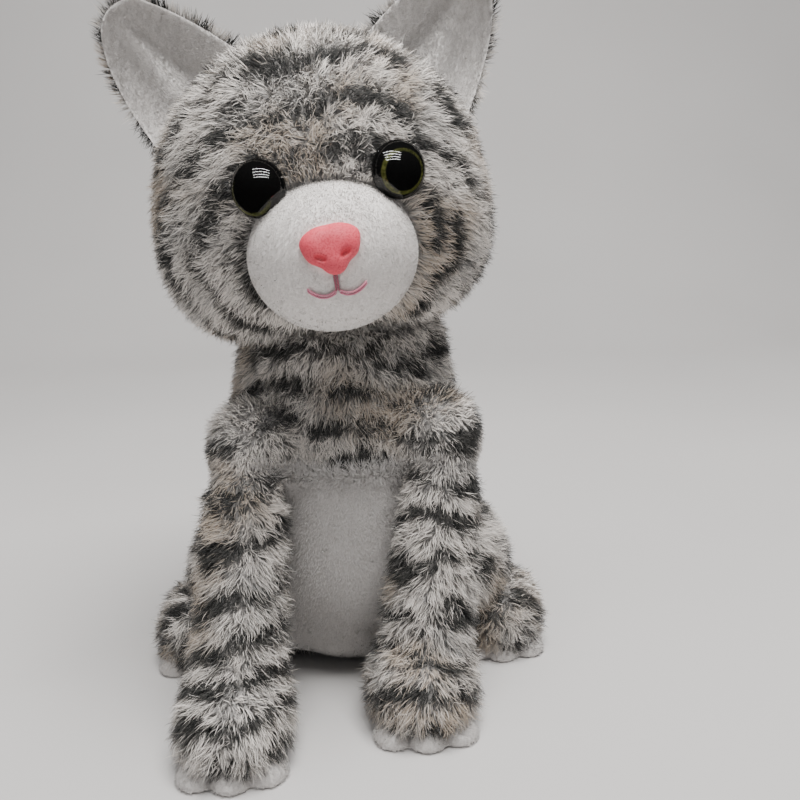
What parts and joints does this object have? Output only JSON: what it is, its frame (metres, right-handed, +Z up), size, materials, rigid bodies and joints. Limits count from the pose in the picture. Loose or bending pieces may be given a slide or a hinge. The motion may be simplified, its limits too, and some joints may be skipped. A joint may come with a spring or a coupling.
{
  "type": "plush cat",
  "caption": "seated plush cat with a grey tabby long-pile coat, white muzzle, ear linings, belly and soles, domed safety eyes, a moulded nose and a stitched mouth",
  "frame": {"origin": "on the ground, in the middle of the flat seat under the trunk", "axes": "+Z up, the cat faces -Y, its left side is at +X"},
  "size_m": [0.1771, 0.2331, 0.2956],
  "materials": {
    "tabby_plush": "long pile",
    "white_plush": "short pile",
    "fibre_fill": "loose fibre",
    "bag_cloth": "plain weave",
    "eye_plastic": "polished",
    "washer_plastic": "moulded",
    "nose_flock": "satin",
    "pink_thread": "satin stitch",
    "grey_thread": "thread"
  },
  "bodies": {
    "torso": {"chest_panel": "tabby_plush", "belly_panel": "white_plush", "left_side_cover": "tabby_plush", "right_side_cover": "tabby_plush", "torso_stuffing": "fibre_fill", "pellet_bag": "bag_cloth", "closing_stitches": "grey_thread", "left_hind_foot_cover": "tabby_plush", "left_hind_foot_stuffing": "fibre_fill", "left_hind_foot_sole": "white_plush", "left_hind_toe_stitches": "grey_thread", "right_hind_foot_cover": "tabby_plush", "right_hind_foot_stuffing": "fibre_fill", "right_hind_foot_sole": "white_plush", "right_hind_toe_stitches": "grey_thread"},
    "neck": {"neck_cover": "tabby_plush"},
    "head": {"head_left_cover": "tabby_plush", "head_right_cover": "tabby_plush", "muzzle_cover": "white_plush", "head_stuffing": "fibre_fill", "left_eye": "eye_plastic", "right_eye": "eye_plastic", "left_eye_washer": "washer_plastic", "right_eye_washer": "washer_plastic", "nose": "nose_flock", "nose_washer": "washer_plastic", "mouth_stitching": "pink_thread"},
    "left_ear": {"left_ear_back": "tabby_plush", "left_ear_lining": "white_plush"},
    "right_ear": {"right_ear_back": "tabby_plush", "right_ear_lining": "white_plush"},
    "left_foreleg": {"left_foreleg_outer_cover": "tabby_plush", "left_foreleg_inner_cover": "tabby_plush", "left_foreleg_stuffing": "fibre_fill", "left_forepaw_sole": "white_plush", "left_forepaw_toe_stitches": "grey_thread"},
    "right_foreleg": {"right_foreleg_outer_cover": "tabby_plush", "right_foreleg_inner_cover": "tabby_plush", "right_foreleg_stuffing": "fibre_fill", "right_forepaw_sole": "white_plush", "right_forepaw_toe_stitches": "grey_thread"},
    "tail": {"tail_cover": "tabby_plush", "tail_stuffing": "fibre_fill"}
  },
  "joints": [
    {"name": "head_turn", "type": "hinge", "parent": "torso", "child": "neck", "pos_m": [0, -0.004, 0.14], "axis": [0, 0, 1], "range_deg": [-35, 35], "stiffness_Nm_per_rad": 0.8},
    {"name": "head_nod", "type": "hinge", "parent": "neck", "child": "head", "pos_m": [0, -0.004, 0.14], "axis": [1, 0, 0], "range_deg": [-12, 7], "stiffness_Nm_per_rad": 2},
    {"name": "left_foreleg_swing", "type": "hinge", "parent": "torso", "child": "left_foreleg", "pos_m": [0.0385, -0.047, 0.106], "axis": [-1, 0, 0], "range_deg": [0, 35], "stiffness_Nm_per_rad": 0.6},
    {"name": "right_foreleg_swing", "type": "hinge", "parent": "torso", "child": "right_foreleg", "pos_m": [-0.04, -0.047, 0.104], "axis": [-1, 0, 0], "range_deg": [0, 35], "stiffness_Nm_per_rad": 0.6},
    {"name": "tail_swing", "type": "hinge", "parent": "torso", "child": "tail", "pos_m": [0, 0.048, 0.0144], "axis": [0, 0, 1], "range_deg": [-25, 25], "stiffness_Nm_per_rad": 0.4},
    {"name": "left_ear_flex", "type": "hinge", "parent": "head", "child": "left_ear", "pos_m": [0.03503, -0.008, 0.25219], "axis": [0.7934, 0, -0.6088], "range_deg": [-12, 12], "stiffness_Nm_per_rad": 0.1},
    {"name": "right_ear_flex", "type": "hinge", "parent": "head", "child": "right_ear", "pos_m": [-0.05539, -0.008, 0.24188], "axis": [-0.6361, 0, -0.7716], "range_deg": [-12, 12], "stiffness_Nm_per_rad": 0.1}
  ]
}
